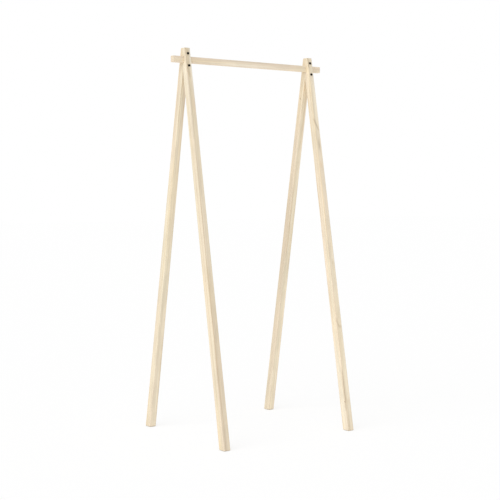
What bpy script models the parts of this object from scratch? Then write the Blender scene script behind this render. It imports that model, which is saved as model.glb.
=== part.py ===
"""Clothes rack: two wooden A-frames that carry one flat hanging rail between them.

Each frame is a front leg and a back leg. Their heads are sawn plumb, lean on each
other and are housed round the rail. Two bolts through each head, one above the rail
and one below it, pull the legs together on threaded inserts and so clamp the rail.

The rail runs along X, the front of the rack faces -Y, and Z is up. The origin is on
the floor, under the middle of the rail. Lengths are in metres.
"""

from math import cos, pi, sin

import bmesh
import bpy
from mathutils import Matrix, Vector

# Overall form
HEIGHT = 1.800
FOOT_SPREAD = 0.674            # front to back over the feet of one frame
HEAD_DEPTH = 0.033             # front to back over the very top of one frame
FRAME_SPACING = 0.718          # between the middle planes of the two frames

# Legs: sizes of the sawn section, measured level with the floor
LEG_DEPTH_AT_FLOOR = 0.040     # front to back
LEG_DEPTH_AT_TOP = 0.034       # before the head is sawn plumb
LEG_WIDTH_AT_FLOOR = 0.034     # along the rail
LEG_WIDTH_AT_TOP = 0.0285
LEG_EDGE_RADIUS = 0.0022       # the long edges are eased
FOOT_CHAMFER = 0.003           # round the sole, against splitting
HEAD_CHAMFER = 0.001           # round the top

# Rail
RAIL_LENGTH = 0.862
RAIL_HEIGHT = 0.029
RAIL_DEPTH = 0.024
RAIL_TOP_TO_HEAD_TOP = 0.0395  # wood of the head above the rail
RAIL_EDGE_RADIUS = 0.002
RAIL_END_CHAMFER = 0.001

# Bolts: socket cap screws
BOLT_DIAMETER = 0.006
BOLT_HEAD_DIAMETER = 0.010
BOLT_HEAD_HEIGHT = 0.006
BOLT_RIM_CHAMFER = 0.0006
BOLT_TIP_CHAMFER = 0.0008
SOCKET_ACROSS_FLATS = 0.005
SOCKET_DEPTH = 0.003
BOLT_TO_RAIL = 0.0135          # from a bolt's axis to the near edge of the rail

# Threaded inserts, let into the mating faces of the back legs
INSERT_DIAMETER = 0.010
INSERT_LENGTH = 0.012
INSERT_CHAMFER = 0.0008
BOLT_PAST_INSERT = 0.0032      # brings the bolts to their stock lengths, 35 and 45 mm
POCKET_PAST_TIP = 0.0015       # free depth of the drilled pocket past the tip

# Fits
FIT_GAP = 0.0003               # between pieces that touch
HEAD_CLEARANCE = 0.0012        # round a bolt head in its flat seat
SEAT_BITE = 0.0005             # least depth of that seat in the sloping face

# Facets
EDGE_STEPS = 3
ROUND_STEPS = 32
SMOOTH_ANGLE = pi / 6
LEAST_ALONG = 0.3              # share of its length that a bar's corner edge runs along it

# Derived places
RAIL_TOP = HEIGHT - RAIL_TOP_TO_HEAD_TOP
RAIL_MIDDLE = RAIL_TOP - RAIL_HEIGHT / 2
BOLT_OFFSET = RAIL_HEIGHT / 2 + BOLT_TO_RAIL
BOLT_LEVELS = {"upper": RAIL_MIDDLE + BOLT_OFFSET, "lower": RAIL_MIDDLE - BOLT_OFFSET}
BOLT_TIP = INSERT_LENGTH + BOLT_PAST_INSERT
SEAT_RADIUS = BOLT_HEAD_DIAMETER / 2 + HEAD_CLEARANCE
MATING_FACE = FIT_GAP / 2      # each head stops this far short of the middle plane
FOOT_MIDDLE = FOOT_SPREAD / 2 - LEG_DEPTH_AT_FLOOR / 2
PAST_ALL = 0.020               # how far a cutter runs past what it cuts


def outer_face(level):
    """Distance from a frame's middle plane to its sloping outer face, at a height."""
    rise = level / HEIGHT
    return FOOT_SPREAD / 2 * (1 - rise) + HEAD_DEPTH / 2 * rise


def bolt_seat(level):
    """Distance from the middle plane to the flat seat of the bolt at a height."""
    return outer_face(level + SEAT_RADIUS) - SEAT_BITE


# Materials

def make_material(name, colour, roughness, metallic=0.0):
    material = bpy.data.materials.new(name)
    material.use_nodes = True
    shader = material.node_tree.nodes["Principled BSDF"]
    shader.inputs["Base Color"].default_value = (*colour, 1.0)
    shader.inputs["Roughness"].default_value = roughness
    shader.inputs["Metallic"].default_value = metallic
    material.diffuse_color = (*colour, 1.0)
    return material


# Objects

def add_empty(name, location, parent=None):
    empty = bpy.data.objects.new(name, None)
    empty.empty_display_size = 0.1
    empty.location = location
    empty.parent = parent
    bpy.context.collection.objects.link(empty)
    return empty


def add_object(name, mesh, parent, location=(0, 0, 0), turn=0.0):
    """Places a mesh under its parent, turned about the upright axis."""
    piece = bpy.data.objects.new(name, mesh)
    piece.location = location
    piece.rotation_euler = (0, 0, turn)
    piece.parent = parent
    bpy.context.collection.objects.link(piece)
    return piece


def add_bar(name, mesh, parent, location, turn=0.0):
    """A wooden piece, whose flats stay flat to the eye between their rounded edges."""
    bar = add_object(name, mesh, parent, location, turn)
    normals = bar.modifiers.new("flat_faces", "WEIGHTED_NORMAL")
    normals.keep_sharp = True
    return bar


# Meshes

def finish_mesh(bm, name):
    bmesh.ops.recalc_face_normals(bm, faces=bm.faces)
    mesh = bpy.data.meshes.new(name)
    bm.to_mesh(mesh)
    bm.free()
    return mesh


def shade(mesh, material):
    """Smooth across gentle bends, sharp across the others."""
    mesh.shade_smooth()
    mesh.set_sharp_from_angle(angle=SMOOTH_ANGLE)
    mesh.materials.clear()
    mesh.materials.append(material)
    return mesh


def carve(name, blank_mesh, cutters, location=(0, 0, 0), turn=0.0):
    """Cuts placed cutters out of a blank that stands where the finished piece will."""
    blank = add_object(name, blank_mesh, None, location, turn)
    tools = [add_object("cutter", mesh, None, place) for mesh, place in cutters]
    for tool in tools:
        boolean = blank.modifiers.new(tool.name, "BOOLEAN")
        boolean.operation = "DIFFERENCE"
        boolean.solver = "EXACT"
        boolean.object = tool
    bpy.context.view_layer.update()
    graph = bpy.context.evaluated_depsgraph_get()
    carved = bpy.data.meshes.new_from_object(blank.evaluated_get(graph))
    carved.name = name
    for used in [blank] + tools:
        bpy.data.objects.remove(used, do_unlink=True)
    return carved


# Sawn bars

def level_section(middle, width, depth):
    """Four corners of a level rectangle, counter-clockwise from above."""
    half = Vector((width / 2, depth / 2))
    signs = ((-1, -1), (1, -1), (1, 1), (-1, 1))
    return [Vector(middle) + Vector((half.x * sx, half.y * sy, 0)) for sx, sy in signs]


def bar_between(first, last):
    """A closed bar between two four-cornered sections; gives its mesh and end faces."""
    bm = bmesh.new()
    rings = [[bm.verts.new(corner) for corner in section] for section in (first, last)]
    start = bm.faces.new(reversed(rings[0]))
    end = bm.faces.new(rings[1])
    for i in range(4):
        j = (i + 1) % 4
        bm.faces.new((rings[0][i], rings[0][j], rings[1][j], rings[1][i]))
    return bm, start, end


def ease_bar(bm, start, end, start_chamfer, end_chamfer, radius, along):
    """Chamfers both end rims of a bar, then rounds the edges that run along it."""
    for face, chamfer in ((start, start_chamfer), (end, end_chamfer)):
        bmesh.ops.bevel(bm, geom=list(face.edges), offset=chamfer, segments=1,
                        affect="EDGES", profile=0.5)
    long_edges = [edge for edge in bm.edges if runs_along(edge, along)]
    bmesh.ops.bevel(bm, geom=long_edges, offset=radius, segments=EDGE_STEPS,
                    affect="EDGES", profile=0.5)


def runs_along(edge, axis):
    """True for the corner edges of a bar, also where they bend into an end chamfer."""
    direction = (edge.verts[1].co - edge.verts[0].co).normalized()
    return abs(direction[axis]) > LEAST_ALONG


def leg_blank():
    """A front leg, standing at the middle of its sole: tapered, eased and sawn plumb."""
    top_middle = FOOT_MIDDLE - HEAD_DEPTH / 2 + LEG_DEPTH_AT_TOP / 2
    sole = level_section((0, 0, 0), LEG_WIDTH_AT_FLOOR, LEG_DEPTH_AT_FLOOR)
    top = level_section((0, top_middle, HEIGHT), LEG_WIDTH_AT_TOP, LEG_DEPTH_AT_TOP)
    bm, start, end = bar_between(sole, top)
    ease_bar(bm, start, end, FOOT_CHAMFER, HEAD_CHAMFER, LEG_EDGE_RADIUS, along=2)
    saw_plumb(bm, FOOT_MIDDLE - MATING_FACE)
    return finish_mesh(bm, "leg_blank")


def saw_plumb(bm, distance):
    """Saws off what lies past a plumb plane and closes the cut with the mating face."""
    everything = list(bm.verts) + list(bm.edges) + list(bm.faces)
    sawn = bmesh.ops.bisect_plane(bm, geom=everything, plane_co=(0, distance, 0),
                                  plane_no=(0, 1, 0), clear_outer=True)
    rim = [part for part in sawn["geom_cut"] if isinstance(part, bmesh.types.BMEdge)]
    bmesh.ops.contextual_create(bm, geom=rim)


def rail_mesh():
    """The rail about its own middle: a level bar, laid down along X."""
    turn = Matrix.Rotation(pi / 2, 3, "Y")
    end_middles = (Vector((-RAIL_LENGTH / 2, 0, 0)), Vector((RAIL_LENGTH / 2, 0, 0)))
    section = level_section((0, 0, 0), RAIL_HEIGHT, RAIL_DEPTH)
    left, right = ([turn @ corner + middle for corner in section] for middle in end_middles)
    bm, start, end = bar_between(left, right)
    ease_bar(bm, start, end, RAIL_END_CHAMFER, RAIL_END_CHAMFER, RAIL_EDGE_RADIUS, along=0)
    return finish_mesh(bm, "rail")


def housing_cutter():
    """The rail's section with a gap all round, long enough to pass through a head."""
    length = LEG_WIDTH_AT_FLOOR + 2 * PAST_ALL
    depth = RAIL_DEPTH + 2 * FIT_GAP
    height = RAIL_HEIGHT + 2 * FIT_GAP
    bm = bmesh.new()
    bmesh.ops.create_cube(bm, size=1.0)
    bmesh.ops.scale(bm, vec=(length, depth, height), verts=bm.verts)
    return finish_mesh(bm, "rail_housing")


# Turned pieces, about the front-to-back axis

def turned_mesh(name, profile, steps=ROUND_STEPS, closed=False):
    """Turns (radius, y) points about Y. A closed profile gives a ring with a bore."""
    bm = bmesh.new()
    rings = []
    for radius, y in profile:
        angles = (2 * pi * i / steps for i in range(steps))
        rings.append([bm.verts.new((radius * cos(a), y, radius * sin(a))) for a in angles])
    pairs = list(zip(rings, rings[1:]))
    if closed:
        pairs.append((rings[-1], rings[0]))
    else:
        bm.faces.new(rings[0])
        bm.faces.new(rings[-1])
    for near, far in pairs:
        for i in range(steps):
            j = (i + 1) % steps
            bm.faces.new((near[i], near[j], far[j], far[i]))
    return finish_mesh(bm, name)


def bolt_mesh(name, seat):
    """A socket cap screw whose head faces -Y and stops a gap short of its seat."""
    under_head = -seat - FIT_GAP
    face = under_head - BOLT_HEAD_HEIGHT
    head = BOLT_HEAD_DIAMETER / 2
    shank = BOLT_DIAMETER / 2
    profile = [
        (head - BOLT_RIM_CHAMFER, face),
        (head, face + BOLT_RIM_CHAMFER),
        (head, under_head),
        (shank, under_head),
        (shank, BOLT_TIP - BOLT_TIP_CHAMFER),
        (shank - BOLT_TIP_CHAMFER, BOLT_TIP),
    ]
    corner = SOCKET_ACROSS_FLATS / 2 / cos(pi / 6)
    socket = turned_mesh("socket", [(corner, -SOCKET_DEPTH), (corner, SOCKET_DEPTH)], steps=6)
    return carve(name, turned_mesh("cap_screw", profile), [(socket, (0, face, 0))])


def insert_mesh():
    """A threaded sleeve, flush with the mating face of the back leg."""
    bore = BOLT_DIAMETER / 2 + FIT_GAP
    outside = INSERT_DIAMETER / 2
    front = MATING_FACE
    back = MATING_FACE + INSERT_LENGTH
    profile = [
        (bore, front),
        (outside, front),
        (outside, back - INSERT_CHAMFER),
        (outside - INSERT_CHAMFER, back),
        (bore, back),
    ]
    return turned_mesh("insert", profile, closed=True)


def bore_cutter(seat):
    """All that one bolt asks of both legs: flat seat, clear hole and insert pocket."""
    hole = BOLT_DIAMETER / 2 + FIT_GAP
    pocket = INSERT_DIAMETER / 2 + FIT_GAP
    profile = [
        (SEAT_RADIUS, -seat - PAST_ALL),
        (SEAT_RADIUS, -seat),
        (hole, -seat),
        (hole, 0),
        (pocket, 0),
        (pocket, BOLT_TIP + POCKET_PAST_TIP),
    ]
    return turned_mesh("bore", profile)


# The rack

LEG_PLACES = {"front": ((0, -FOOT_MIDDLE, 0), 0.0), "back": ((0, FOOT_MIDDLE, 0), pi)}


def leg_meshes(wood):
    """The front leg and the back leg of a frame, housed and drilled together."""
    cutters = [(housing_cutter(), (0, 0, RAIL_MIDDLE))]
    cutters += [(bore_cutter(bolt_seat(level)), (0, 0, level)) for level in BOLT_LEVELS.values()]
    blank = leg_blank()
    return {name: shade(carve(f"{name}_leg", blank, cutters, place, turn), wood)
            for name, (place, turn) in LEG_PLACES.items()}


def add_frame(side, x, rack, legs, bolts, insert):
    frame = add_empty(f"{side}_frame", (x, 0, 0), rack)
    for name, (place, turn) in LEG_PLACES.items():
        add_bar(f"{side}_{name}_leg", legs[name], frame, place, turn)
    for name, level in BOLT_LEVELS.items():
        add_object(f"{side}_{name}_bolt", bolts[name], frame, (0, 0, level))
        add_object(f"{side}_{name}_insert", insert, frame, (0, 0, level))


def build():
    for old in list(bpy.data.objects):
        bpy.data.objects.remove(old, do_unlink=True)
    wood = make_material("pine", (0.80, 0.64, 0.44), 0.55)
    black_steel = make_material("black_steel", (0.012, 0.012, 0.013), 0.38, 0.85)
    zinc_steel = make_material("zinc_steel", (0.55, 0.55, 0.53), 0.35, 1.0)

    legs = leg_meshes(wood)
    bolts = {name: shade(bolt_mesh(f"{name}_bolt", bolt_seat(level)), black_steel)
             for name, level in BOLT_LEVELS.items()}
    insert = shade(insert_mesh(), zinc_steel)

    rack = add_empty("rack", (0, 0, 0))
    add_bar("hanging_rail", shade(rail_mesh(), wood), rack, (0, 0, RAIL_MIDDLE))
    add_frame("left", -FRAME_SPACING / 2, rack, legs, bolts, insert)
    add_frame("right", FRAME_SPACING / 2, rack, legs, bolts, insert)


build()
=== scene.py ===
"""Clothes rack, dressed: pine legs and rail, black socket cap screws, zinc inserts.

The frame holds every piece at its real size. Each wooden piece is built again here with
rounder edges and eased arrises, and each piece of steel with its socket, knurl and thread.
Lengths are in metres, apart from the patterns of the materials, which are in millimetres.
"""

from math import cos, floor, pi, radians, sin, tau

import bmesh
import bpy
from mathutils import Matrix, Vector


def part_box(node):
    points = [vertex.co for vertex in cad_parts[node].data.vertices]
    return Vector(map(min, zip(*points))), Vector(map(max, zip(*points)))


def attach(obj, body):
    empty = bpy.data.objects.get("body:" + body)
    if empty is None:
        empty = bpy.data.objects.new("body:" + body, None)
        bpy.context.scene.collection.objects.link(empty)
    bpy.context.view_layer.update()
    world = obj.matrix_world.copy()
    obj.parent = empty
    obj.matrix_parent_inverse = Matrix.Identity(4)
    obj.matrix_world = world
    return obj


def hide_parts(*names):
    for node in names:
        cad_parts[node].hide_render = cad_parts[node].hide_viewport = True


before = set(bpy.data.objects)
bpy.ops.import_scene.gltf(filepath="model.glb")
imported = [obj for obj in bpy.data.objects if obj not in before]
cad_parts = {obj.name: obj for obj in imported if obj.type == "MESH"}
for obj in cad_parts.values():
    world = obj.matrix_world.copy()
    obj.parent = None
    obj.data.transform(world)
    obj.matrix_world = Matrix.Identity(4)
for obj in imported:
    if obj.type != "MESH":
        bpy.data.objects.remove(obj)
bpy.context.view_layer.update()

# Names in the frame
BODY = "root"
SIDES = ("left", "right")
PLACES = ("front", "back")
LEVELS = ("upper", "lower")
RAIL = "hanging_rail"

# Edges of the wood
LEG_EDGE = 0.0022
RAIL_EDGE = 0.0020
FOOT_CHAMFER = 0.0030
HEAD_CHAMFER = 0.0010
RAIL_END_CHAMFER = 0.0010
ROUND_SEGMENTS = 6
ROUND_PROFILE = 0.5            # of a bevel that is part of a circle
LEAST_ALONG = 0.3              # how much of a corner edge runs along its bar
ARRIS = 0.00025                # what sandpaper takes off a cut edge
ARRIS_SEGMENTS = 2
ARRIS_ANGLE = radians(50)      # bends sharper than this are cut edges
SMOOTH_ANGLE = radians(24)
SAME_POINT = 0.000001          # corners as close as this are one
SAME_FLAT = radians(0.3)       # faces that bend as little as this are one
END_GRAIN_FROM = 0.3125        # how squarely a face cuts the fibres: where they start to
END_GRAIN_FULL = 0.9375        # show their ends, and where nothing else shows

# Cuts in the wood
FIT_GAP = 0.0003
HEAD_CLEARANCE = 0.0012        # round a bolt head in its flat seat
POCKET_PAST_TIP = 0.0015
PAST_ALL = 0.020               # how far a cutter runs past what it cuts
HOLE_STEPS = 64                # sides of a drilled hole
CLEAR_LEVELS = (0.2, 1.5)      # two levels where nothing cuts into a leg

# Socket cap screws
BOLT_RADIUS = 0.0030
BOLT_STEPS = 96                # sides of the head and shank
HEAD_HEIGHT = 0.0060
RIM_ROUND = 0.0006             # round the face of the head
RIM_STEPS = 4
BOTTOM_CHAMFER = 0.00025       # round its underside
UNDER_HEAD_FILLET = 0.00025
KNURLS = 48
KNURL_DEPTH = 0.00012
KNURL_RUN_IN = 0.00020         # from the rim to the knurl's full depth
KNURL_RUN_OUT = 0.00015        # from its full depth to the chamfer
SOCKET_FLATS = 0.0050
SOCKET_DEPTH = 0.0030
SOCKET_MOUTH = 0.00305         # radius of the countersink at the face
SOCKET_CORNER = 0.00005        # between the socket's walls and its floor
DRILL_RADIUS = 0.0021          # the cone that a drill has left in that floor
DRILL_CONE = 0.0006
DRILL_POINT = 0.00015          # radius of the blunt end of the cone
THREAD_PITCH = 0.0010
THREAD_DEPTH = 0.00058
THREAD_LENGTH = 0.024
THREAD_ROWS = 8                # rings for each turn of a thread
THREAD_FLANK = 4.0             # how many depths a flank would rise over a pitch
THREAD_REACH = 0.4375          # pitches from the middle of a crest to the root
THREAD_PLAY = 0.00012          # between a bolt and its insert
TIP_CHAMFER = 0.0008

# Threaded inserts
OUTER_PITCH = 0.0020
OUTER_DEPTH = 0.0009
INSERT_CHAMFER = 0.0008
INSERT_STEPS = 64

# Camera, at the photograph's viewing angle
CAMERA_PLACE = (-3.1853, -4.4046, 1.1574)
CAMERA_TURN = radians(-35.94)
CAMERA_DOWN = radians(1.62)
CAMERA_LENS = 81.59
CAMERA_SENSOR = 36.0
CAMERA_SHIFT_UP = -0.060

# Light
SKY_LIGHT = 0.60
BACKGROUND = 1.0
KEY_STRENGTH = 1.25
KEY_SPREAD = radians(60)
KEY_TILT = radians(58)
KEY_TURN = radians(-72)
FLOOR_SIZE = 60.0
FLOOR_BOUNCE = 0.92            # colour of the floor as the rack sees it
FLOOR_LIGHT = 0.25             # what the lit sweep beyond the floor adds from below
FLOOR_GLOW = 0.72              # what the camera sees even in shade
FLOOR_SHADE = 0.34             # what the camera sees of the light that falls on it
PAINTED_SHADOW_REACH = 0.010          # how far the painted contact shadow round a foot spreads
PAINTED_SHADOW_GLOW = 0.80           # the glow that is left where a foot meets the floor, in the painted shadow
PAINTED_SHADOW_FULL = 0.45            # share of open sky at which the painted shadow leaves no more than that


# Meshes

def clamp(value):
    """The value, kept between 0 and 1."""
    return min(1.0, max(0.0, value))


def new_object(name, bm):
    """Turns a bmesh into an object whose faces point out."""
    bmesh.ops.recalc_face_normals(bm, faces=bm.faces)
    if bm.calc_volume(signed=True) < 0:
        bmesh.ops.reverse_faces(bm, faces=bm.faces)
    mesh = bpy.data.meshes.new(name)
    bm.to_mesh(mesh)
    bm.free()
    piece = bpy.data.objects.new(name, mesh)
    bpy.context.scene.collection.objects.link(piece)
    return piece


def shade(piece, material):
    """Smooth across gentle bends, sharp across the others, flats kept flat to the eye."""
    piece.data.shade_smooth()
    piece.data.set_sharp_from_angle(angle=SMOOTH_ANGLE)
    piece.data.materials.clear()
    piece.data.materials.append(material)
    normals = piece.modifiers.new("flat_faces", "WEIGHTED_NORMAL")
    normals.keep_sharp = True


def put_in(piece, own_axes):
    """Gives a mesh that stands in the world an origin and axes of its own."""
    piece.data.transform(own_axes.inverted())
    piece.matrix_world = own_axes


def carve(blank, cutters):
    """Cuts closed shapes out of a closed blank and gives the result as a bmesh."""
    for cutter in cutters:
        boolean = blank.modifiers.new(cutter.name, "BOOLEAN")
        boolean.operation = "DIFFERENCE"
        boolean.solver = "EXACT"
        boolean.object = cutter
    bpy.context.view_layer.update()
    graph = bpy.context.evaluated_depsgraph_get()
    bm = bmesh.new()
    bm.from_object(blank, graph)
    for used in [blank] + cutters:
        bpy.data.objects.remove(used, do_unlink=True)
    return bm


# Sawn bars

def cut_box(node, level):
    """Lowest and highest corner of the level cut across a CAD node."""
    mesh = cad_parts[node].data
    spots = []
    for edge in mesh.edges:
        a, b = (mesh.vertices[i].co for i in edge.vertices)
        if (a.z - level) * (b.z - level) < 0:
            spots.append(a.lerp(b, (level - a.z) / (b.z - a.z)))
    lowest = Vector([min(spot[i] for spot in spots) for i in range(3)])
    highest = Vector([max(spot[i] for spot in spots) for i in range(3)])
    return lowest, highest


def leg_section(node, level):
    """Corners of a leg's sawn section: two clear cuts carried on in straight lines."""
    low, high = (cut_box(node, clear) for clear in CLEAR_LEVELS)
    along = (level - CLEAR_LEVELS[0]) / (CLEAR_LEVELS[1] - CLEAR_LEVELS[0])
    lo, hi = (a + (b - a) * along for a, b in zip(low, high))
    corners = ((lo.x, lo.y), (hi.x, lo.y), (hi.x, hi.y), (lo.x, hi.y))
    return [Vector((x, y, level)) for x, y in corners]


def rail_section(x):
    """Corners of the rail's section at one place along it."""
    lo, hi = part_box(RAIL)
    corners = ((lo.y, lo.z), (hi.y, lo.z), (hi.y, hi.z), (lo.y, hi.z))
    return [Vector((x, y, z)) for y, z in corners]


def eased_bar(first, last, first_chamfer, last_chamfer, radius):
    """A bar between two four-cornered sections, chamfered at its ends and rounded along."""
    bm = bmesh.new()
    rings = [[bm.verts.new(corner) for corner in section] for section in (first, last)]
    ends = [bm.faces.new(ring) for ring in rings]
    for i in range(4):
        j = (i + 1) % 4
        bm.faces.new((rings[0][i], rings[0][j], rings[1][j], rings[1][i]))
    bmesh.ops.recalc_face_normals(bm, faces=bm.faces)
    along = (middle_of(last) - middle_of(first)).normalized()
    for face, chamfer in zip(ends, (first_chamfer, last_chamfer)):
        bmesh.ops.bevel(bm, geom=list(face.edges), offset=chamfer, segments=1,
                        affect="EDGES", profile=ROUND_PROFILE)
    long_edges = [edge for edge in bm.edges if runs_along(edge, along)]
    bmesh.ops.bevel(bm, geom=long_edges, offset=radius, segments=ROUND_SEGMENTS,
                    affect="EDGES", profile=ROUND_PROFILE)
    return bm


def runs_along(edge, along):
    """True for the corner edges of a bar, also where they bend into an end chamfer."""
    direction = (edge.verts[1].co - edge.verts[0].co).normalized()
    return abs(direction.dot(along)) > LEAST_ALONG


def middle_of(section):
    return sum(section, Vector()) / len(section)


def saw_plumb(bm, distance, outward):
    """Saws off what lies past a plumb plane and closes the cut with the mating face."""
    everything = list(bm.verts) + list(bm.edges) + list(bm.faces)
    sawn = bmesh.ops.bisect_plane(bm, geom=everything, plane_co=(0, distance, 0),
                                  plane_no=(0, outward, 0), clear_outer=True)
    rim = [part for part in sawn["geom_cut"] if isinstance(part, bmesh.types.BMEdge)]
    bmesh.ops.contextual_create(bm, geom=rim)


def ease_arrises(bm):
    """Takes the sharpness off every outside edge that a saw or a drill has left."""
    bmesh.ops.remove_doubles(bm, verts=bm.verts, dist=SAME_POINT)
    bmesh.ops.dissolve_limit(bm, angle_limit=SAME_FLAT, verts=bm.verts, edges=bm.edges)
    sharp = [edge for edge in bm.edges
             if edge.is_manifold and edge.is_convex and edge.calc_face_angle() > ARRIS_ANGLE]
    bmesh.ops.bevel(bm, geom=sharp, offset=ARRIS, segments=ARRIS_SEGMENTS, affect="EDGES",
                    profile=ROUND_PROFILE, clamp_overlap=False)


def mark_end_grain(piece, along):
    """Stores where the fibres end in a face, which is darker and drinks more finish."""
    mesh = piece.data
    values = mesh.attributes.new("end_grain", "FLOAT", "POINT")
    for vertex, value in zip(mesh.vertices, values.data):
        square = abs(vertex.normal.dot(along))
        value.value = clamp((square - END_GRAIN_FROM) / (END_GRAIN_FULL - END_GRAIN_FROM))


# Round pieces, about the front-to-back axis

def round_body(name, rows, steps, joined=False):
    """Turns rows about Y. A row is a function from an angle to a radius and a place."""
    bm = bmesh.new()
    rings = []
    for row in rows:
        ring = []
        for i in range(steps):
            angle = tau * i / steps
            radius, y = row(angle)
            ring.append(bm.verts.new((radius * cos(angle), y, radius * sin(angle))))
        rings.append(ring)
    pairs = list(zip(rings, rings[1:]))
    if joined:
        pairs.append((rings[-1], rings[0]))
    else:
        bm.faces.new(rings[0])
        bm.faces.new(rings[-1])
    for near, far in pairs:
        for i in range(steps):
            j = (i + 1) % steps
            bm.faces.new((near[i], near[j], far[j], far[i]))
    return new_object(name, bm)


def plain(radius, y):
    return lambda angle: (radius, y)


def thread_form(angle, y, pitch):
    """Height of a right-hand thread, from 0 in its root to 1 on its crest."""
    phase = y / pitch - angle / tau
    phase -= floor(phase)
    return clamp(THREAD_FLANK * (THREAD_REACH - abs(phase - 0.5)))


def hexagon(angle):
    """Distance from the middle of the socket to its wall."""
    turn = angle % (pi / 3) - pi / 6
    return SOCKET_FLATS / 2 / cos(turn)


# Wood

def bore_cutter(side, level):
    """All that one bolt asks of both legs: flat seat, clear hole and insert pocket."""
    bolt_low, bolt_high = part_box(f"{side}_{level}_bolt")
    insert_low, insert_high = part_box(f"{side}_{level}_insert")
    seat = bolt_low.y + HEAD_HEIGHT + FIT_GAP
    seat_radius = (bolt_high.x - bolt_low.x) / 2 + HEAD_CLEARANCE
    hole = BOLT_RADIUS + FIT_GAP
    pocket = (insert_high.x - insert_low.x) / 2 + FIT_GAP
    rows = [
        plain(seat_radius, seat - PAST_ALL),
        plain(seat_radius, seat),
        plain(hole, seat),
        plain(hole, 0),
        plain(pocket, 0),
        plain(pocket, bolt_high.y + POCKET_PAST_TIP),
    ]
    cutter = round_body("bore", rows, HOLE_STEPS)
    middle = (bolt_low + bolt_high) / 2
    cutter.location = (middle.x, 0, middle.z)
    return cutter


def housing_cutter(leg):
    """The rail's section with a gap all round, long enough to pass through a head."""
    leg_low, leg_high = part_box(leg)
    rail_low, rail_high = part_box(RAIL)
    reach = Vector((PAST_ALL, FIT_GAP, FIT_GAP))
    low = Vector((leg_low.x, rail_low.y, rail_low.z)) - reach
    high = Vector((leg_high.x, rail_high.y, rail_high.z)) + reach
    bm = bmesh.new()
    bmesh.ops.create_cube(bm, size=1.0)
    bmesh.ops.scale(bm, vec=high - low, verts=bm.verts)
    bmesh.ops.translate(bm, vec=(low + high) / 2, verts=bm.verts)
    return new_object("housing", bm)


def make_leg(side, place):
    node = f"{side}_{place}_leg"
    low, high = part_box(node)
    sole, top = leg_section(node, low.z), leg_section(node, high.z)
    bm = eased_bar(sole, top, FOOT_CHAMFER, HEAD_CHAMFER, LEG_EDGE)
    if place == "front":
        saw_plumb(bm, high.y, 1)
    else:
        saw_plumb(bm, low.y, -1)
    blank = new_object("leg_blank", bm)
    cutters = [housing_cutter(node)] + [bore_cutter(side, level) for level in LEVELS]
    bm = carve(blank, cutters)
    ease_arrises(bm)
    leg = new_object(f"{node}_wood", bm)
    axis = middle_of(top) - middle_of(sole)
    mark_end_grain(leg, axis.normalized())
    put_in(leg, Matrix.Translation(middle_of(sole)))
    slope = (axis.x / axis.z, axis.y / axis.z)
    shade(leg, pine(f"pine_{node}", slope=slope, **LEG_WOOD[node]))
    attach(leg, BODY)
    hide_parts(node)


def make_rail():
    low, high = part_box(RAIL)
    left, right = rail_section(low.x), rail_section(high.x)
    bm = eased_bar(left, right, RAIL_END_CHAMFER, RAIL_END_CHAMFER, RAIL_EDGE)
    ease_arrises(bm)
    rail = new_object(f"{RAIL}_wood", bm)
    mark_end_grain(rail, Vector((1, 0, 0)))
    upright_to_level = Matrix.Rotation(pi / 2, 4, "Y")
    put_in(rail, Matrix.Translation(middle_of(left)) @ upright_to_level)
    shade(rail, pine("pine_rail", **RAIL_WOOD))
    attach(rail, BODY)
    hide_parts(RAIL)


# Steel

def make_bolt(side, level, material):
    """A socket cap screw whose head faces -Y."""
    node = f"{side}_{level}_bolt"
    low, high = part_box(node)
    head = (high.x - low.x) / 2
    root = head - KNURL_DEPTH
    face, under, tip = low.y, low.y + HEAD_HEIGHT, high.y
    floor_of_socket = face + SOCKET_DEPTH
    start = tip - THREAD_LENGTH

    def knurled(y):
        def row(angle):
            groove = (1 - cos(angle * KNURLS)) / 2
            return head - KNURL_DEPTH * groove, y
        return row

    def threaded(y):
        def row(angle):
            run_in = clamp((y - start) / THREAD_PITCH)
            gap = 1 - thread_form(angle, y, THREAD_PITCH)
            radius = BOLT_RADIUS - THREAD_DEPTH * gap * run_in
            return min(radius, BOLT_RADIUS - TIP_CHAMFER + tip - y), y
        return row

    rows = [
        plain(DRILL_POINT, floor_of_socket + DRILL_CONE),
        plain(DRILL_RADIUS, floor_of_socket),
        lambda angle: (hexagon(angle) - SOCKET_CORNER, floor_of_socket),
        lambda angle: (hexagon(angle), floor_of_socket - SOCKET_CORNER),
        lambda angle: (hexagon(angle), face + SOCKET_MOUTH - hexagon(angle)),
        plain(SOCKET_MOUTH, face),
    ]
    for step in range(RIM_STEPS + 1):
        turn = pi / 2 * step / RIM_STEPS
        rows.append(plain(root - RIM_ROUND * (1 - sin(turn)),
                          face + RIM_ROUND * (1 - cos(turn))))
    rows += [
        knurled(face + RIM_ROUND + KNURL_RUN_IN),
        knurled(under - BOTTOM_CHAMFER - KNURL_RUN_OUT),
        plain(root, under - BOTTOM_CHAMFER),
        plain(root - BOTTOM_CHAMFER, under),
        plain(BOLT_RADIUS + UNDER_HEAD_FILLET, under),
        plain(BOLT_RADIUS, under + UNDER_HEAD_FILLET),
    ]
    count = round(THREAD_LENGTH / THREAD_PITCH) * THREAD_ROWS
    rows += [threaded(start + THREAD_LENGTH * i / count) for i in range(count)]
    rows.append(plain(BOLT_RADIUS - TIP_CHAMFER, tip))
    place_steel(round_body(f"{node}_steel", rows, BOLT_STEPS), node, material)


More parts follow.
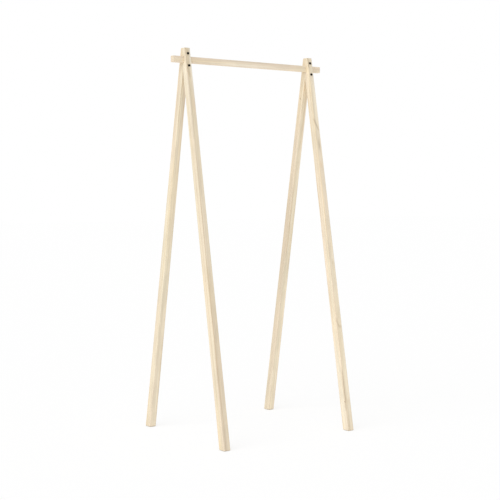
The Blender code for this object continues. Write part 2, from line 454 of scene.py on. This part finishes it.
def make_insert(side, level, material):
    """A sleeve that is threaded outside for the wood and inside for the bolt."""
    node = f"{side}_{level}_insert"
    low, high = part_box(node)
    outside = (high.x - low.x) / 2
    length = high.y - low.y
    count = round(length / THREAD_PITCH) * THREAD_ROWS

    def inner(y):
        def row(angle):
            form = 1 - thread_form(angle, y, THREAD_PITCH)
            return BOLT_RADIUS + THREAD_PLAY - THREAD_DEPTH * form, y
        return row

    def outer(y):
        def row(angle):
            form = thread_form(angle, y, OUTER_PITCH)
            coned = outside - INSERT_CHAMFER + high.y - y
            return min(outside - OUTER_DEPTH * (1 - form), coned), y
        return row

    levels = [low.y + length * i / count for i in range(count + 1)]
    rows = [inner(y) for y in reversed(levels)] + [outer(y) for y in levels]
    body = round_body(f"{node}_steel", rows, INSERT_STEPS, joined=True)
    place_steel(body, node, material)


def place_steel(piece, node, material):
    low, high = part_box(node)
    middle = (low + high) / 2
    piece.location = (middle.x, 0, middle.z)
    shade(piece, material)
    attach(piece, BODY)
    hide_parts(node)


# Materials

MILLIMETRES = 1000.0                           # in a metre
NOISE_MIDDLE = 0.5
MIX_FIRST, MIX_SECOND, MIX_RESULT = 6, 7, 2    # colour sockets of a Mix node


class Graph:
    """A short way to write the nodes of a new material."""

    def __init__(self, name):
        self.material = bpy.data.materials.new(name)
        self.material.use_nodes = True
        self.tree = self.material.node_tree
        self.shader = self.tree.nodes["Principled BSDF"]

    def node(self, kind, **settings):
        node = self.tree.nodes.new("ShaderNode" + kind)
        for name, value in settings.items():
            setattr(node, name, value)
        return node

    def feed(self, socket, value):
        if isinstance(value, bpy.types.NodeSocket):
            self.tree.links.new(value, socket)
        else:
            socket.default_value = value

    def math(self, operation, *values):
        node = self.node("Math", operation=operation)
        for socket, value in zip(node.inputs, values):
            self.feed(socket, value)
        return node.outputs[0]

    def vector(self, operation, *values):
        node = self.node("VectorMath", operation=operation)
        for socket, value in zip(node.inputs, values):
            self.feed(socket, value)
        return node.outputs["Value" if operation in ("DOT_PRODUCT", "LENGTH") else "Vector"]

    def scaled(self, vector, factor):
        node = self.node("VectorMath", operation="SCALE")
        self.feed(node.inputs[0], vector)
        self.feed(node.inputs["Scale"], factor)
        return node.outputs[0]

    def step(self, value, low, high, to_low=0.0, to_high=1.0):
        """Rises smoothly from one value to another between two limits."""
        node = self.node("MapRange", interpolation_type="SMOOTHSTEP")
        for name, given in (("Value", value), ("From Min", low), ("From Max", high),
                            ("To Min", to_low), ("To Max", to_high)):
            self.feed(node.inputs[name], given)
        return node.outputs[0]

    def noise(self, vector, detail=2.0, roughness=0.5):
        node = self.node("TexNoise", noise_dimensions="3D")
        self.feed(node.inputs["Vector"], vector)
        node.inputs["Scale"].default_value = 1.0
        node.inputs["Detail"].default_value = detail
        node.inputs["Roughness"].default_value = roughness
        return node.outputs

    def grain(self, place, cells, detail=2.0, roughness=0.5):
        """Noise with so many cells in a unit of length along X, Y and Z."""
        return self.noise(self.vector("MULTIPLY", place, cells), detail, roughness)

    def line_noise(self, value, detail=2.0):
        """Noise along one value only."""
        node = self.node("TexNoise", noise_dimensions="1D")
        self.feed(node.inputs["W"], value)
        node.inputs["Scale"].default_value = 1.0
        node.inputs["Detail"].default_value = detail
        return node.outputs[0]

    def bell(self, squared):
        """1 where a squared distance is 0, and falling off on all sides."""
        return self.math("EXPONENT", self.math("MULTIPLY", squared, -1.0))

    def mix(self, factor, first, second, blend="MIX"):
        node = self.node("Mix", data_type="RGBA", blend_type=blend)
        node.clamp_factor = True
        self.feed(node.inputs[0], factor)
        self.feed(node.inputs[MIX_FIRST], first)
        self.feed(node.inputs[MIX_SECOND], second)
        return node.outputs[MIX_RESULT]

    def own_place(self):
        return self.node("TexCoord").outputs["Object"]

    def finish(self, colour, roughness, height, depth):
        self.feed(self.shader.inputs["Base Color"], colour)
        self.feed(self.shader.inputs["Roughness"], roughness)
        bump = self.node("Bump")
        bump.inputs["Strength"].default_value = 1.0
        bump.inputs["Distance"].default_value = depth
        self.feed(bump.inputs["Height"], height)
        self.feed(self.shader.inputs["Normal"], bump.outputs[0])
        return self.material


# Colours of the wood
EARLY_WOOD = (0.825, 0.738, 0.565, 1)
LATE_WOOD = (0.660, 0.490, 0.290, 1)
BLUSH = (0.815, 0.695, 0.540, 1)
HONEY = (0.785, 0.645, 0.420, 1)
RESIN = (0.330, 0.180, 0.085, 1)
KNOT_RIM = (0.210, 0.110, 0.055, 1)
KNOT_CORE = (0.480, 0.290, 0.150, 1)

# Noises in the wood: cells in a millimetre along X, Y and Z, detail and roughness
SWAY = ((1 / 45, 1 / 45, 1 / 320), 2.0)
FIBRES = ((2.6, 2.6, 1 / 24), 4.0, 0.6)
STREAKS = ((0.36, 0.36, 1 / 210), 3.0, 0.55)
BROAD = ((1 / 17, 1 / 17, 1 / 620), 2.0)
MOTTLE = ((1 / 28, 1 / 28, 1 / 95), 1.0)
CANALS = ((2.1, 2.1, 1 / 5), 1.0)
KNOT_EDGE = ((0.9, 0.9, 0.9), 2.0)
SEED_STEPS = (37.0, 61.0, 1930.0)       # how far one seed's noise lies from the next
SWAY_WIDTH = 13.0                       # how far the heart strays on its way up

# Year rings
DRIFT = 2.2                             # rings that come early or late
DRIFT_CELLS = 1 / 13
DRIFT_SEED = 5.3
YEAR_STEP = 0.731                       # from one year's noise to the next
LATE_RISE = (0.30, 0.90)                # shares of a ring between which it darkens
LATE_FALL = (1.0, 0.94)
YEAR_DEPTH = (0.25, 0.75, 0.35, 1.0)    # limits of the noise, and what they give

# Knots, in radii of a knot
KNOT_SHAPE = (1, 1, 0.55)               # longer along the grain
KNOT_SWELL = 2.6                        # how far it bends the rings round it
KNOT_PUSH = 1.7                         # and by how much
KNOT_RIM_FADE = (1.25, 0.85)
KNOT_CORE_FADE = (0.95, 0.55)

# What the noises do: their limits, and what these give
BLUSH_SHARE = (0.42, 0.60, 0.0, 0.85)
HONEY_SHARE = (0.50, 0.66, 0.0, 0.60)
MARK_SHARE = (0.3, 0.6, 0.6, 1.0)
CANAL_SHARE = (0.66, 0.76)
BROAD_LEVEL = (0.36, 0.62, 0.965, 1.045)
MOTTLE_LEVEL = (0.36, 0.64, 0.97, 1.03)

# And in straight proportion: a factor, and what is added
CANAL_IN_LATE = (0.5, 0.1)
FIBRE_LEVEL = (0.14, 0.93)
STREAK_LEVEL = (0.42, 0.79)
END_LEVEL = (-0.10, 1.0)

LATE_COLOUR = 0.66                      # how far late wood takes its own colour
WOOD_ROUGHNESS = 0.60
LATE_ROUGHNESS = -0.08
FIBRE_ROUGHNESS = 0.10
END_ROUGHNESS = 0.12
LATE_RELIEF = 0.5
FIBRE_RELIEF = 0.9
WOOD_RELIEF = 0.00005


def pine(name, heart, lean, ring, seed, slope=(0, 0), tone=(1, 1, 1), knots=(), marks=()):
    """Planed pine as a solid pattern in millimetres, its grain along the piece's own Z.

    The piece leaves its own Z by a slope. The tree's heart stands at a place beside the
    piece, leans by small slopes, and lays rings of a mean width round itself. A knot is a
    place and a radius. A mark is a place, a reach along each axis, a colour and a strength.
    """
    g = Graph(name)
    place = g.scaled(g.own_place(), MILLIMETRES)
    upright = g.vector("DOT_PRODUCT", place, (0, 0, 1))
    place = g.vector("SUBTRACT", place, g.scaled((slope[0], slope[1], 0), upright))
    lone = g.vector("ADD", place, tuple(seed * step for step in SEED_STEPS))

    radius = from_heart(g, place, lone, heart, lean)
    radius, knot_rim, knot_core = grow_knots(g, place, radius, knots)
    late = late_wood(g, radius, ring, seed)
    fibres = g.grain(lone, *FIBRES)["Fac"]
    streaks = g.grain(lone, *STREAKS)["Fac"]
    mottle = g.grain(lone, *MOTTLE)["Fac"]
    canals = g.grain(lone, *CANALS)["Fac"]
    broad = g.node("SeparateXYZ")
    g.feed(broad.inputs[0], g.grain(lone, *BROAD)["Color"])
    end_grain = g.node("Attribute", attribute_name="end_grain").outputs["Fac"]

    colour = g.mix(g.step(broad.outputs[0], *BLUSH_SHARE), EARLY_WOOD, BLUSH)
    colour = g.mix(g.step(broad.outputs[1], *HONEY_SHARE), colour, HONEY)
    colour = g.mix(g.math("MULTIPLY", late, LATE_COLOUR), colour, LATE_WOOD)
    dashes = g.math("MULTIPLY_ADD", late, *CANAL_IN_LATE)
    colour = g.mix(g.math("MULTIPLY", g.step(canals, *CANAL_SHARE), dashes), colour, RESIN)
    colour = add_marks(g, colour, place, streaks, marks)
    if knots:
        colour = g.mix(knot_rim, colour, KNOT_RIM)
        colour = g.mix(knot_core, colour, KNOT_CORE)

    level = g.math("MULTIPLY_ADD", fibres, *FIBRE_LEVEL)
    level = g.math("MULTIPLY", level, g.math("MULTIPLY_ADD", streaks, *STREAK_LEVEL))
    level = g.math("MULTIPLY", level, g.step(broad.outputs[2], *BROAD_LEVEL))
    level = g.math("MULTIPLY", level, g.step(mottle, *MOTTLE_LEVEL))
    level = g.math("MULTIPLY", level, g.math("MULTIPLY_ADD", end_grain, *END_LEVEL))
    tint = g.node("CombineXYZ")
    for socket, share in zip(tint.inputs, tone):
        g.feed(socket, g.math("MULTIPLY", level, share))
    colour = g.mix(1.0, colour, tint.outputs[0], "MULTIPLY")

    roughness = g.math("MULTIPLY_ADD", late, LATE_ROUGHNESS, WOOD_ROUGHNESS)
    roughness = g.math("MULTIPLY_ADD", fibres, FIBRE_ROUGHNESS, roughness)
    roughness = g.math("MULTIPLY_ADD", end_grain, END_ROUGHNESS, roughness)
    height = g.math("MULTIPLY_ADD", late, LATE_RELIEF, g.math("MULTIPLY", fibres, FIBRE_RELIEF))
    return g.finish(colour, roughness, height, WOOD_RELIEF)


def from_heart(g, place, lone, heart, lean):
    """Distance from the middle of the tree."""
    split = g.node("SeparateXYZ")
    g.feed(split.inputs[0], place)
    x, y, z = split.outputs
    stem = g.node("CombineXYZ")
    g.feed(stem.inputs[0], g.math("SUBTRACT", x, g.math("MULTIPLY_ADD", z, lean[0], heart[0])))
    g.feed(stem.inputs[1], g.math("SUBTRACT", y, g.math("MULTIPLY_ADD", z, lean[1], heart[1])))
    sway = g.vector("SUBTRACT", g.grain(lone, *SWAY)["Color"], (NOISE_MIDDLE,) * 3)
    away = g.vector("ADD", stem.outputs[0], g.scaled(sway, SWAY_WIDTH))
    return g.vector("LENGTH", g.vector("MULTIPLY", away, (1, 1, 0)))


def grow_knots(g, place, radius, knots):
    """Bends the rings round knots. Gives the new radius, the knots' rims and their cores."""
    rim = 0.0
    core = 0.0
    for spot, size in knots:
        away = g.vector("MULTIPLY", g.vector("SUBTRACT", place, spot), KNOT_SHAPE)
        distance = g.vector("LENGTH", away)
        far = g.math("DIVIDE", distance, size * KNOT_SWELL)
        swell = g.bell(g.math("POWER", far, 2.0))
        radius = g.math("MULTIPLY_ADD", swell, size * KNOT_PUSH, radius)
        ragged = g.math("SUBTRACT", g.grain(place, *KNOT_EDGE)["Fac"], NOISE_MIDDLE)
        distance = g.math("ADD", distance, ragged)
        outer = g.step(distance, size * KNOT_RIM_FADE[0], size * KNOT_RIM_FADE[1])
        inner = g.step(distance, size * KNOT_CORE_FADE[0], size * KNOT_CORE_FADE[1])
        rim = g.math("MAXIMUM", rim, outer)
        core = g.math("MAXIMUM", core, inner)
    return radius, rim, core


def late_wood(g, radius, ring, seed):
    """Rises to 1 where a year's ring ends, in some years more than in others."""
    drift = g.line_noise(g.math("MULTIPLY_ADD", radius, DRIFT_CELLS, seed * DRIFT_SEED), 1.0)
    count = g.math("MULTIPLY_ADD", drift, DRIFT, g.math("DIVIDE", radius, ring))
    through = g.math("FRACT", count)
    year = g.line_noise(g.math("MULTIPLY_ADD", g.math("FLOOR", count), YEAR_STEP, seed), 0.0)
    late = g.math("MULTIPLY", g.step(through, *LATE_RISE), g.step(through, *LATE_FALL))
    return g.math("MULTIPLY", late, g.step(year, *YEAR_DEPTH))


def add_marks(g, colour, place, streaks, marks):
    """Tints the wood round each mark, more so in some streaks than in others."""
    uneven = g.step(streaks, *MARK_SHARE)
    for spot, reach, tint, strength in marks:
        away = g.vector("SUBTRACT", place, spot)
        away = g.vector("MULTIPLY", away, tuple(1 / r for r in reach))
        near = g.bell(g.vector("DOT_PRODUCT", away, away))
        share = g.math("MULTIPLY", near, g.math("MULTIPLY", uneven, strength))
        colour = g.mix(share, colour, (*tint, 1))
    return colour


# The two kinds of steel: noises as for the wood, limits of the cloud between two colours,
# and the least roughness with what the cloud and the grit add to it
BLACK_OXIDE = dict(
    name="black_oxide", cloud=((0.35, 0.35, 0.35), 3.0), grit=((9.0, 9.0, 9.0), 3.0, 0.6),
    limits=(0.35, 0.75), dull=(0.0065, 0.0065, 0.0072, 1), rubbed=(0.016, 0.0155, 0.016, 1),
    metallic=0.9, roughness=(0.28, 0.16, 0.10))
ZINC_PLATE = dict(
    name="zinc_plate", cloud=((0.5, 0.5, 0.5), 3.0), grit=((7.0, 7.0, 7.0), 3.0, 0.6),
    limits=(0.3, 0.7), dull=(0.50, 0.50, 0.49, 1), rubbed=(0.63, 0.62, 0.58, 1),
    metallic=1.0, roughness=(0.26, 0.14, 0.0))
STEEL_RELIEF = 0.00001


def steel(name, cloud, grit, limits, dull, rubbed, metallic, roughness):
    """Coated steel, cloudy between a dull and a rubbed colour, under a fine grit."""
    g = Graph(name)
    place = g.scaled(g.own_place(), MILLIMETRES)
    clouds = g.grain(place, *cloud)["Fac"]
    grains = g.grain(place, *grit)["Fac"]
    colour = g.mix(g.step(clouds, *limits), dull, rubbed)
    least, by_cloud, by_grit = roughness
    rough = g.math("MULTIPLY_ADD", grains, by_grit, least)
    rough = g.math("MULTIPLY_ADD", clouds, by_cloud, rough)
    g.shader.inputs["Metallic"].default_value = metallic
    return g.finish(colour, rough, grains, STEEL_RELIEF)


# Studio

def seen_directly(tree):
    """1 for rays that show the background: from the camera, mirrors and clear things."""
    path = tree.nodes.new("ShaderNodeLightPath")
    total = path.outputs["Is Camera Ray"]
    for name in ("Is Glossy Ray", "Is Transmission Ray"):
        larger = tree.nodes.new("ShaderNodeMath")
        larger.operation = "MAXIMUM"
        tree.links.new(total, larger.inputs[0])
        tree.links.new(path.outputs[name], larger.inputs[1])
        total = larger.outputs[0]
    return total


def make_world():
    world = bpy.data.worlds.new("studio")
    bpy.context.scene.world = world
    world.use_nodes = True
    tree = world.node_tree
    light = tree.nodes["Background"]
    white = tree.nodes.new("ShaderNodeBackground")
    for node, strength in ((light, SKY_LIGHT), (white, BACKGROUND)):
        node.inputs["Color"].default_value = (1, 1, 1, 1)
        node.inputs["Strength"].default_value = strength
    choose = tree.nodes.new("ShaderNodeMixShader")
    tree.links.new(seen_directly(tree), choose.inputs[0])
    tree.links.new(light.outputs[0], choose.inputs[1])
    tree.links.new(white.outputs[0], choose.inputs[2])
    tree.links.new(choose.outputs[0], tree.nodes["World Output"].inputs["Surface"])


def glowing(tree, grey, strength):
    """A matt grey that also gives light of its own, dimmed right under the object as a painted
    contact shadow.
    """
    matt = tree.nodes.new("ShaderNodeBsdfDiffuse")
    matt.inputs["Color"].default_value = (grey, grey, grey, 1)
    # painted shadow: ambient occlusion dims the glow right round the feet
    painted_contact_shadow = tree.nodes.new("ShaderNodeAmbientOcclusion")
    painted_contact_shadow.inputs["Distance"].default_value = PAINTED_SHADOW_REACH
    open_floor = tree.nodes.new("ShaderNodeMapRange")
    open_floor.inputs["From Min"].default_value = PAINTED_SHADOW_FULL
    open_floor.inputs["To Min"].default_value = strength * PAINTED_SHADOW_GLOW
    open_floor.inputs["To Max"].default_value = strength
    tree.links.new(painted_contact_shadow.outputs["AO"], open_floor.inputs["Value"])
    glow = tree.nodes.new("ShaderNodeEmission")
    glow.inputs["Color"].default_value = (1, 1, 1, 1)
    tree.links.new(open_floor.outputs[0], glow.inputs["Strength"])
    both = tree.nodes.new("ShaderNodeAddShader")
    tree.links.new(matt.outputs[0], both.inputs[0])
    tree.links.new(glow.outputs[0], both.inputs[1])
    return both.outputs[0]


def make_floor():
    bm = bmesh.new()
    bmesh.ops.create_grid(bm, x_segments=1, y_segments=1, size=FLOOR_SIZE / 2)
    ground = new_object("floor", bm)
    material = bpy.data.materials.new("white_floor")
    material.use_nodes = True
    ground.data.materials.append(material)
    tree = material.node_tree
    tree.nodes.remove(tree.nodes["Principled BSDF"])
    choose = tree.nodes.new("ShaderNodeMixShader")
    tree.links.new(seen_directly(tree), choose.inputs[0])
    tree.links.new(glowing(tree, FLOOR_BOUNCE, FLOOR_LIGHT), choose.inputs[1])
    tree.links.new(glowing(tree, FLOOR_SHADE, FLOOR_GLOW), choose.inputs[2])
    tree.links.new(choose.outputs[0], tree.nodes["Material Output"].inputs["Surface"])


def make_key():
    lamp = bpy.data.lights.new("key", "SUN")
    lamp.energy = KEY_STRENGTH
    lamp.angle = KEY_SPREAD
    key = bpy.data.objects.new("key", lamp)
    key.rotation_euler = (KEY_TILT, 0, KEY_TURN)
    bpy.context.scene.collection.objects.link(key)


def make_camera():
    camera = bpy.data.objects.new("camera", bpy.data.cameras.new("camera"))
    bpy.context.scene.collection.objects.link(camera)
    camera.location = CAMERA_PLACE
    camera.rotation_euler = (pi / 2 - CAMERA_DOWN, 0, CAMERA_TURN)
    camera.data.sensor_width = CAMERA_SENSOR
    camera.data.lens = CAMERA_LENS
    camera.data.shift_y = CAMERA_SHIFT_UP
    bpy.context.scene.camera = camera


# The rack

# Colours of marks in the wood, some of them used for painted light and shade
PALE = (0.90, 0.83, 0.68)
CREAM = (0.90, 0.80, 0.61)
ORANGE = (0.78, 0.56, 0.35)
DUSKY = (0.66, 0.55, 0.41)
BROWNED = (0.61, 0.50, 0.37)
GREYED = (0.62, 0.53, 0.42)
DARK = (0.46, 0.36, 0.23)
TAN = (0.75, 0.61, 0.42)
STRAW = (0.72, 0.64, 0.43)
PINKISH = (0.71, 0.59, 0.46)
# greyish brown for the shade painted on the lowest few millimetres of each foot
SOLE_SHADE_BROWN = (0.46, 0.39, 0.31)


def trail(start, end, reach, tint, strength):
    """A row of marks in a straight line, for a streak that runs at a slant to the grain."""
    start, end = Vector(start), Vector(end)
    count = max(1, round((end - start).length / reach[2]))
    return tuple((tuple(start.lerp(end, i / count)), reach, tint, strength)
                 for i in range(count + 1))


# The wood of each piece, with the knots and marks that the photograph shows, in millimetres
# from the middle of the sole, or of the rail's left end
# Painted shade: darkens the foot chamfer and the lowest 3.5 mm of every leg, next to the floor
PAINTED_SOLE_SHADE = ((0, 0, 0), (90, 90, 3.5), SOLE_SHADE_BROWN, 0.8)
LEG_WOOD = {
    "left_front_leg": dict(
        heart=(-85, 60), lean=(0.004, 0.006), ring=2.9, seed=1.0, tone=(1.0, 1.0, 1.0),
        knots=(((-13.0, -19.5, 1697), 2.2),),
        # the first mark is a painted highlight: a pale band along the right edge of the front
        # face below the head
        marks=(((12, -17, 1690), (7, 9, 190), PALE, 0.9),
               ((-16, 0, 1640), (6, 22, 200), PALE, 0.5),
               ((6, -18, 1535), (7, 5, 40), ORANGE, 0.4),
               ((4, -19, 1120), (20, 6, 480), CREAM, 0.35),
               ((-11, -19, 380), (2.5, 3, 180), ORANGE, 0.5),
               PAINTED_SOLE_SHADE)
        + trail((-8.5, -17, 1718), (-1, -17, 1672), (3.5, 4, 13), DARK, 0.45)
        + trail((-11, -17, 1790), (-10, -17, 1735), (2.0, 4, 25), DUSKY, 0.6)),
    "left_back_leg": dict(
        heart=(40, 95), lean=(-0.005, 0.003), ring=2.4, seed=2.0, tone=(1.01, 1.01, 1.01),
        # The four cream marks lighten the inner face along its length: partly paler wood,
        # partly painted light from the bright floor below
        marks=(((4, -19, 300), (20, 9, 700), CREAM, 0.6),
               ((4, -19, 1250), (20, 9, 300), CREAM, 0.45),
               ((4, -19, 820), (20, 9, 240), CREAM, 0.45),
               ((4, -19, 80), (20, 9, 110), CREAM, 0.40),
               ((-16, 5, 1600), (4, 9, 90), PINKISH, 0.5),
               ((13, -19, 200), (4, 5, 300), DUSKY, 0.5),
               PAINTED_SOLE_SHADE)),
    "right_front_leg": dict(
        heart=(95, -45), lean=(0.006, -0.004), ring=2.7, seed=3.0, tone=(1.05, 1.05, 1.06),
        knots=(((-16.8, -17.0, 136), 2.0),),
        marks=(((3, -18, 1480), (16, 6, 280), CREAM, 0.4),
               # painted highlight: a pale band along the right edge of the front face below the
               # head
               ((11, -17, 1640), (7, 9, 180), PALE, 0.8),
               # painted highlight on the eased left edge of the front face, at the head
               ((-16.5, -17, 1782), (2.5, 6, 22), PALE, 0.9),
               ((5, -18.5, 700), (12, 6, 420), PALE, 0.4),
               ((6, -19.5, 190), (15, 6, 280), CREAM, 0.75),
               ((-17, 0, 180), (7, 20, 220), PALE, 0.45),
               ((7, -18.6, 832), (5, 5, 28), PALE, 0.6),
               ((2, -18.7, 795), (4.5, 4, 14), DARK, 0.32),
               ((1.4, -17, 1700), (1.6, 3, 24), GREYED, 0.7),
               ((-1.4, -18, 1272), (3.0, 3, 16), ORANGE, 0.8),
               ((1.0, -17.7, 1370), (5.0, 4, 26), DARK, 0.72),
               ((-10, -19.7, 150), (4, 4, 20), DARK, 0.40),
               ((-8.5, -20, 25), (3.5, 4, 36), DARK, 0.38),
               ((0, -20, 136), (9, 4, 13), TAN, 0.50),
               ((-17, -17, 112), (3.5, 4, 20), DARK, 0.38),
               PAINTED_SOLE_SHADE)
        + trail((-11.3, -17, 1796), (-9.8, -17, 1758), (2.4, 4, 13), DARK, 0.80)
        + trail((-14, -17.3, 1492), (6.5, -17.6, 1445), (3.2, 4, 9), DARK, 0.58)
        + trail((-13, -19, 521), (-7, -19.2, 503), (2.8, 4, 9), DARK, 0.42)
        + trail((-5, -19.2, 496), (6, -19.2, 488), (4.0, 4, 8), DARK, 0.38)
        + trail((-13.6, -19.5, 262), (-14.6, -19.5, 132), (3.0, 4, 32), DARK, 0.55)),
    "right_back_leg": dict(
        heart=(-30, -110), lean=(0.003, 0.007), ring=3.1, seed=4.0, tone=(1.03, 1.03, 1.03),
        knots=(((-15.5, 2.0, 1602), 2.4),),
        marks=(((-17, 2, 930), (7, 22, 250), BROWNED, 0.92),
               ((-17, 2, 930), (7, 22, 1400), DUSKY, 0.70),
               ((-11.8, -17, 1660), (2.4, 3, 46), ORANGE, 0.8),
               ((0, -18, 1448), (9, 5, 20), DUSKY, 0.5),
               # These two cream marks lighten the inner face: partly paler wood, partly painted
               # light from the bright floor below
               ((6, -19, 450), (16, 7, 650), CREAM, 0.65),
               ((4, -18, 1350), (16, 7, 300), CREAM, 0.45),
               PAINTED_SOLE_SHADE)),
}
RAIL_WOOD = dict(
    heart=(70, 50), lean=(0.004, -0.005), ring=2.5, seed=5.0, tone=(1.08, 1.07, 1.09),
    marks=(((8, -12, 430), (9, 7, 230), PALE, 0.6),
           ((-11, -12, 430), (8, 7, 700), PINKISH, 0.5),
           ((0, -12, 120), (18, 7, 60), TAN, 0.5),
           ((0, -12, 760), (18, 7, 50), STRAW, 0.5)))


def build():
    bpy.context.scene.view_settings.view_transform = "Standard"
    make_camera()
    make_world()
    make_floor()
    make_key()
    black = steel(**BLACK_OXIDE)
    zinc = steel(**ZINC_PLATE)
    make_rail()
    for side in SIDES:
        for place in PLACES:
            make_leg(side, place)
        for level in LEVELS:
            make_bolt(side, level, black)
            make_insert(side, level, zinc)


build()
